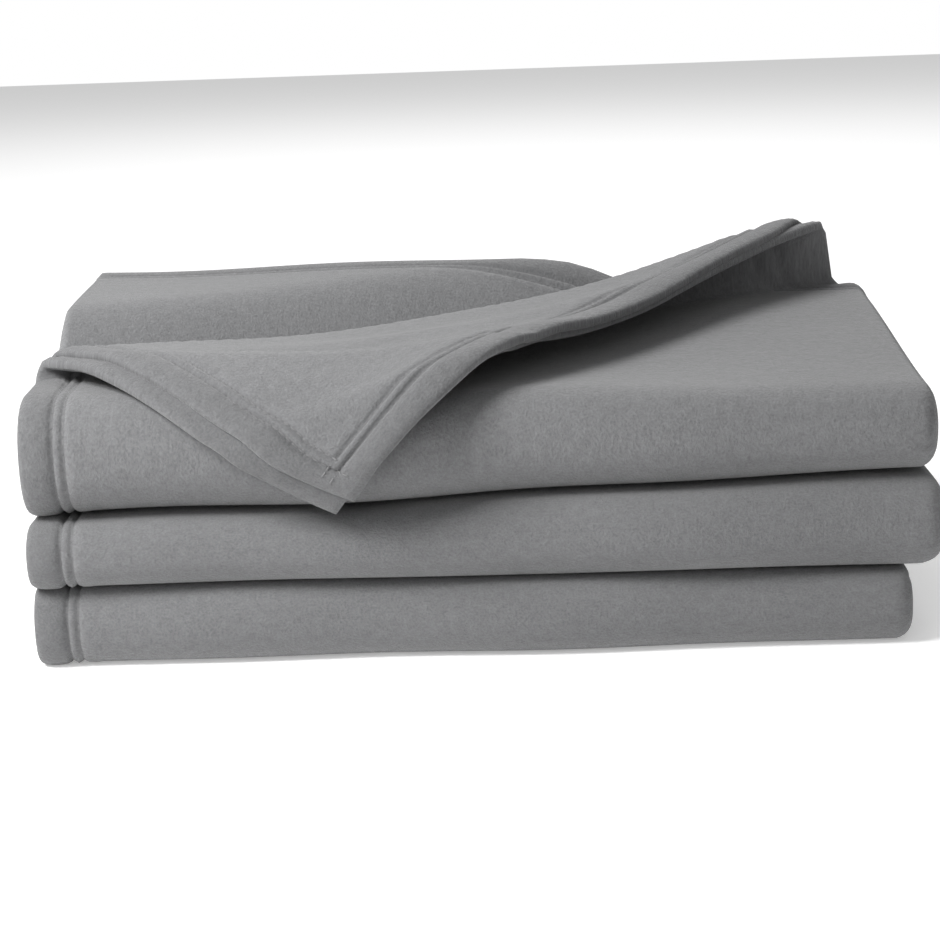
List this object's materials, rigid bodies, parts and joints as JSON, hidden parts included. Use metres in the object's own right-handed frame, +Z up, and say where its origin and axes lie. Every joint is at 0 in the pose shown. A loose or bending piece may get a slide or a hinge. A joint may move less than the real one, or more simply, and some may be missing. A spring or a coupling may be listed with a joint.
{
  "type": "folded throw blanket",
  "caption": "Grey fleece throw blanket folded into a rectangular stack, with one hemmed corner turned over the top and hanging down the front.",
  "frame": {"origin": "under the middle of the stack, on the surface it lies on", "axes": "+X to the right along the rounded front folds, +Y to the back, +Z up"},
  "size_m": [0.392, 0.2374, 0.1459],
  "materials": {
    "fleece": "matt",
    "hem": "matt",
    "thread": "satin"
  },
  "bodies": {
    "lower_stack": {"bottom_fold": "fleece", "lower_back_fold": "fleece", "bottom_side_hem": "hem", "bottom_side_seam": "thread", "bottom_end_hem": "hem"},
    "middle_stack": {"middle_fold": "fleece", "upper_back_fold": "fleece", "middle_side_hem": "hem", "middle_side_seam": "thread"},
    "top_stack": {"top_fold": "fleece", "top_side_hem": "hem", "top_side_seam": "thread", "top_end_hem": "hem", "top_end_seam": "thread", "corner_roll": "fleece"},
    "turned_corner": {"corner_under_ply": "fleece", "corner_over_ply": "fleece", "corner_side_hem": "hem", "corner_end_hem": "hem", "corner_side_seam": "thread", "corner_end_seam": "thread"}
  },
  "joints": [
    {"name": "middle_fold_lift", "type": "hinge", "parent": "lower_stack", "child": "middle_stack", "pos_m": [0, 0.096, 0.034], "axis": [-1, 0, 0], "range_deg": [0, 30], "deforming": ["lower_back_fold"]},
    {"name": "top_fold_lift", "type": "hinge", "parent": "middle_stack", "child": "top_stack", "pos_m": [0, 0.096, 0.065], "axis": [-1, 0, 0], "range_deg": [0, 60], "deforming": ["upper_back_fold"]},
    {"name": "corner_turn", "type": "hinge", "parent": "top_stack", "child": "turned_corner", "pos_m": [-0.195, -0.0582, 0.121], "axis": [-0.9104, -0.4124, -0.0335], "range_deg": [0, 105], "deforming": ["corner_roll"]}
  ]
}
